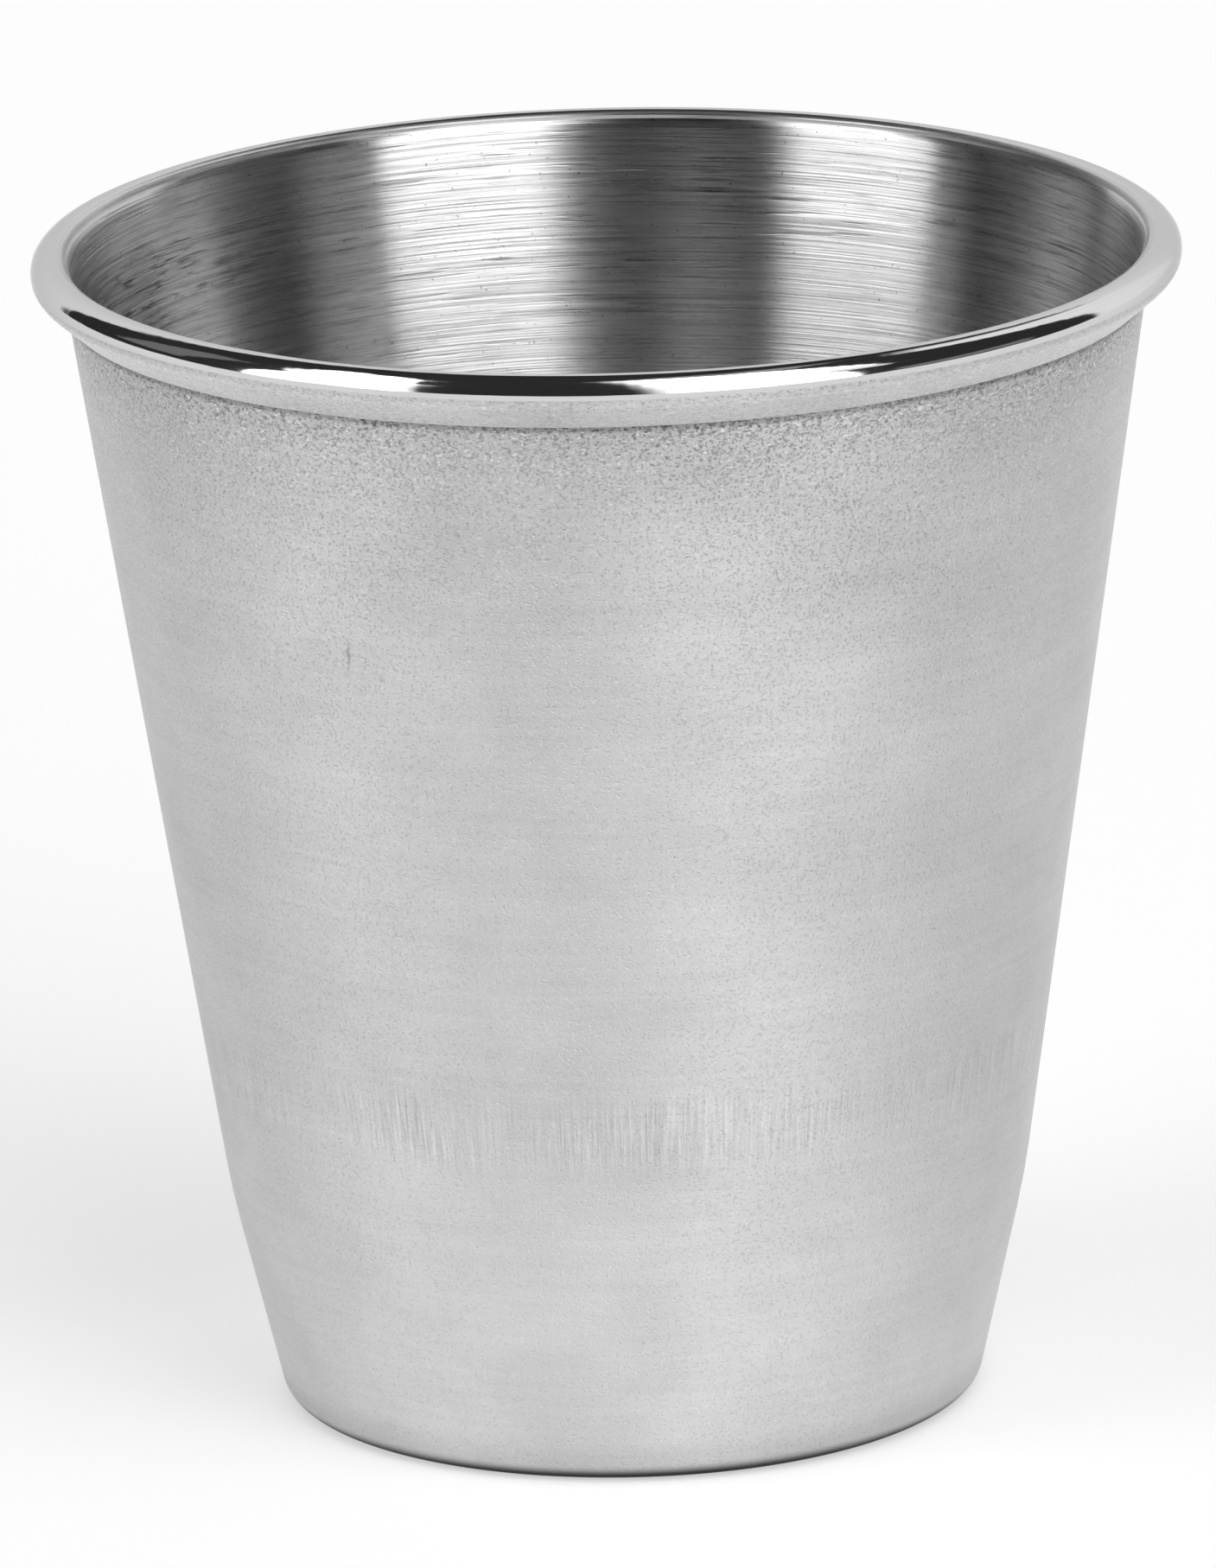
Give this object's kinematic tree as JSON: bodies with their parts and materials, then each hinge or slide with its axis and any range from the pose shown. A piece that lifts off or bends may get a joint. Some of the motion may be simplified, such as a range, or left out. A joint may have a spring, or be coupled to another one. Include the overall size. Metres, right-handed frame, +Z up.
{
  "type": "stainless steel cup",
  "caption": "Small tapered stainless steel cup, drawn from one sheet, with a rolled rim over a wire, a knee low on the wall and a base that stands on a ring.",
  "frame": {"origin": "middle of the plane that the cup stands on", "axes": "+Z up along the cup's axis, towards the mouth; X and Y are alike, because the cup is round"},
  "size_m": [0.052, 0.052, 0.0539],
  "materials": {
    "cup_steel": "fine satin outside, mirror polished on the rim, polished round and round inside",
    "wire_steel": "bright drawn wire"
  },
  "bodies": {
    "root": {"cup_body": "cup_steel", "rim_wire": "wire_steel"}
  },
  "joints": []
}
